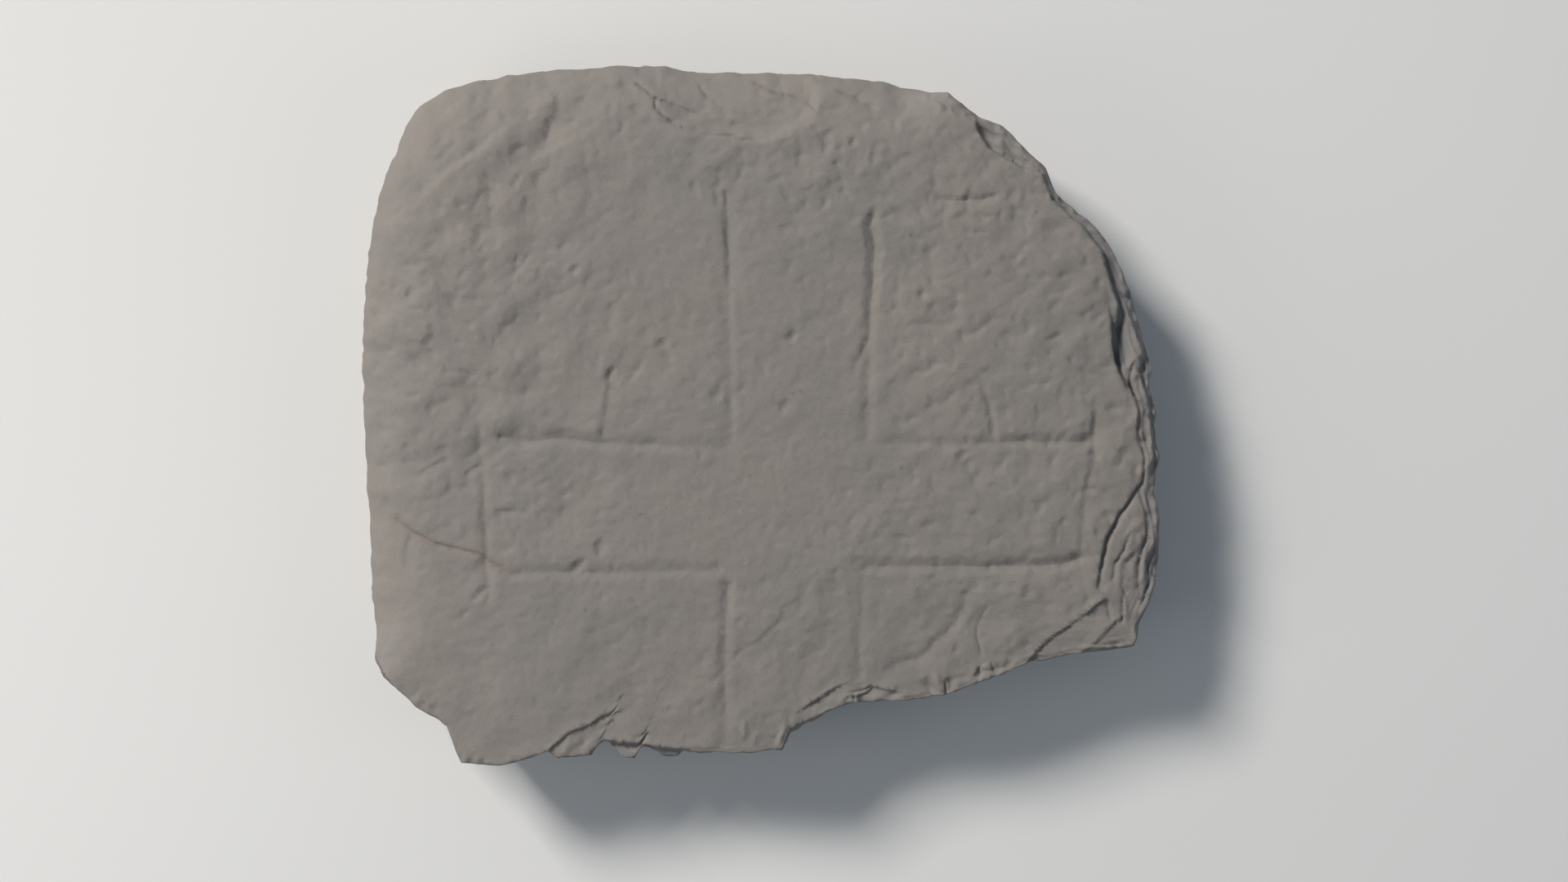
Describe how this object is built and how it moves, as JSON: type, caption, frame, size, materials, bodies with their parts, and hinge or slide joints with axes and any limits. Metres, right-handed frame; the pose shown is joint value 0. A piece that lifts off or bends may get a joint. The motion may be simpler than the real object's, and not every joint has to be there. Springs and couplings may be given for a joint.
{
  "type": "cross slab",
  "caption": "Worn stone slab with an outlined cross cut in its face, weathered on one side and broken along the other and at its foot. Lies on its back.",
  "frame": {"origin": "under the middle of the slab, on its underside", "axes": "+Z out of the carved face, +Y towards the head of the cross, +X to the right of the carved face seen from the front"},
  "size_m": [0.647, 0.565, 0.11],
  "materials": {
    "stone": "dry, weathered, matt"
  },
  "bodies": {
    "root": {"cross_slab": "stone"}
  },
  "joints": []
}
